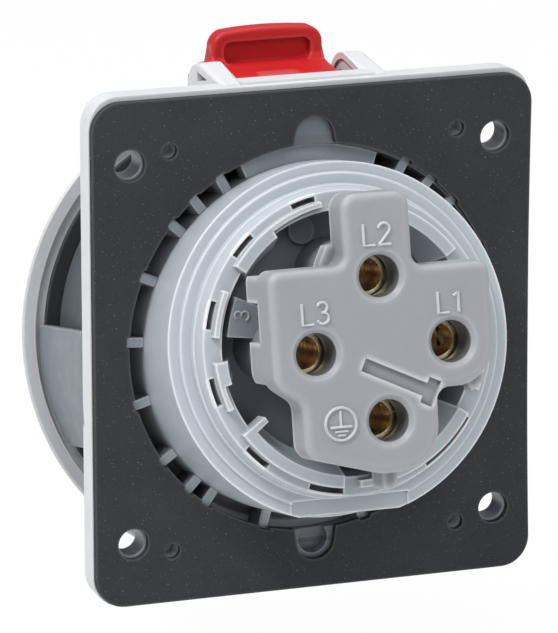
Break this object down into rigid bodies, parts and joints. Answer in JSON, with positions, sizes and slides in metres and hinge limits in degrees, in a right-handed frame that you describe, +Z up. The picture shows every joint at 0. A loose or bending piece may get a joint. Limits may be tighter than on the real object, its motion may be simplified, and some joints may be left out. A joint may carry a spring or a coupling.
{
  "type": "panel mounting industrial socket",
  "caption": "Inclined panel socket for heavy-current plugs: square flange with gasket, stepped round rear barrel with terminal cover, hinged lid and red latch.",
  "frame": {"origin": "centre of the gasket's rear face, on the panel plane", "axes": "+Z up, +Y to the wiring side behind the panel, -Y to the lid side"},
  "size_m": [0.0984, 0.0961, 0.1164],
  "materials": {
    "housing_grey": "moulded, fine satin",
    "insert_grey": "moulded, satin, slightly blue",
    "carrier_grey": "moulded, satin",
    "cover_grey": "moulded, fine matt",
    "gasket_rubber": "matt",
    "seal_rubber": "matt",
    "brass": "turned",
    "steel": "bright",
    "latch_red": "moulded, semi-gloss"
  },
  "bodies": {
    "housing": {"flange_housing": "housing_grey", "flange_gasket": "gasket_rubber", "insert_barrel": "insert_grey", "insert_seal": "seal_rubber", "contact_carrier": "carrier_grey", "terminal_cover": "cover_grey", "clamp_screws": "steel", "hinge_pin": "steel", "lid_spring": "steel", "latch_pin": "steel", "latch_spring": "steel", "contact_l1": "brass", "contact_spring_l1": "steel", "contact_l2": "brass", "contact_spring_l2": "steel", "contact_l3": "brass", "contact_spring_l3": "steel", "contact_earth": "brass", "contact_spring_earth": "steel"},
    "lid": {"lid": "housing_grey", "lid_seal": "seal_rubber"},
    "latch": {"latch_lever": "latch_red"}
  },
  "joints": [
    {"name": "lid_hinge", "type": "hinge", "parent": "housing", "child": "lid", "pos_m": [0, -0.02599, -0.054], "axis": [1, 0, 0], "range_deg": [0, 130], "stiffness_Nm_per_rad": 0.012, "springref_deg": -85.94},
    {"name": "latch_pivot", "type": "hinge", "parent": "housing", "child": "latch", "pos_m": [0, -0.0215, 0.0484], "axis": [-1, 0, 0], "range_deg": [0, 28], "stiffness_Nm_per_rad": 0.02, "springref_deg": -28.65}
  ]
}
